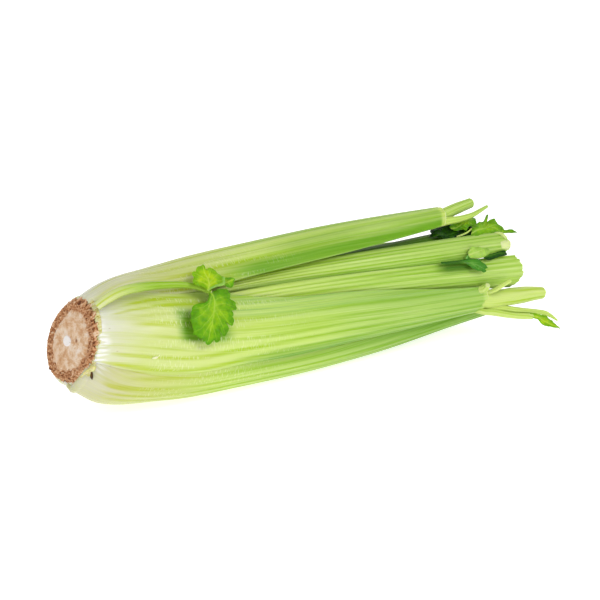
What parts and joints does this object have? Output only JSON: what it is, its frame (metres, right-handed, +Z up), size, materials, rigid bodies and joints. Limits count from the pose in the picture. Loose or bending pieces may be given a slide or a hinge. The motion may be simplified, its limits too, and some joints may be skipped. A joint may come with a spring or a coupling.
{
  "type": "head of celery",
  "caption": "Fresh head of celery lying on its side: ribbed crescent stalks bundled on a cut root crown, trimmed tops, a small basal sprout.",
  "frame": {"origin": "under the middle of the whole head, on the surface it lies on", "axes": "+X along the head from the root cut to the stalk tops, +Z up, -Y to the front"},
  "size_m": [0.343, 0.0946, 0.0906],
  "materials": {
    "crown": "cut fibrous root flesh, brown at the rim and pale tan in the middle",
    "outer_stalk": "moist ribbed stalk, white at the base to yellow-green and green at the top",
    "inner_stalk": "moist ribbed stalk, lighter green",
    "heart_stalk": "pale young stalk",
    "sprout": "smooth yellow-green stem",
    "leaf": "thin veined leaf, bright green",
    "dark_leaf": "thin veined leaf, dark green"
  },
  "bodies": {
    "root": {"root_crown": "crown", "outer_stalk_top": "outer_stalk", "outer_stalk_front": "outer_stalk", "outer_stalk_front_low": "outer_stalk", "outer_stalk_back_low": "outer_stalk", "outer_stalk_back": "outer_stalk", "inner_stalk_upper": "inner_stalk", "inner_stalk_front": "inner_stalk", "inner_stalk_front_low": "inner_stalk", "inner_stalk_under": "inner_stalk", "inner_stalk_back_low": "inner_stalk", "inner_stalk_back": "inner_stalk", "heart_stalk_top": "heart_stalk", "heart_stalk_front": "heart_stalk", "heart_stalk_under": "heart_stalk", "heart_stalk_back": "heart_stalk", "sprout_stem": "sprout", "sprout_leaf_large": "leaf", "sprout_leaf_curled": "leaf", "sprout_leaf_small": "leaf", "heart_leaf_dark": "dark_leaf", "heart_leaf_middle": "leaf", "heart_leaf_bright": "leaf", "inner_leaf_dark": "dark_leaf", "inner_leaf_light": "leaf", "petiole_leaf_tip": "leaf"}
  },
  "joints": []
}
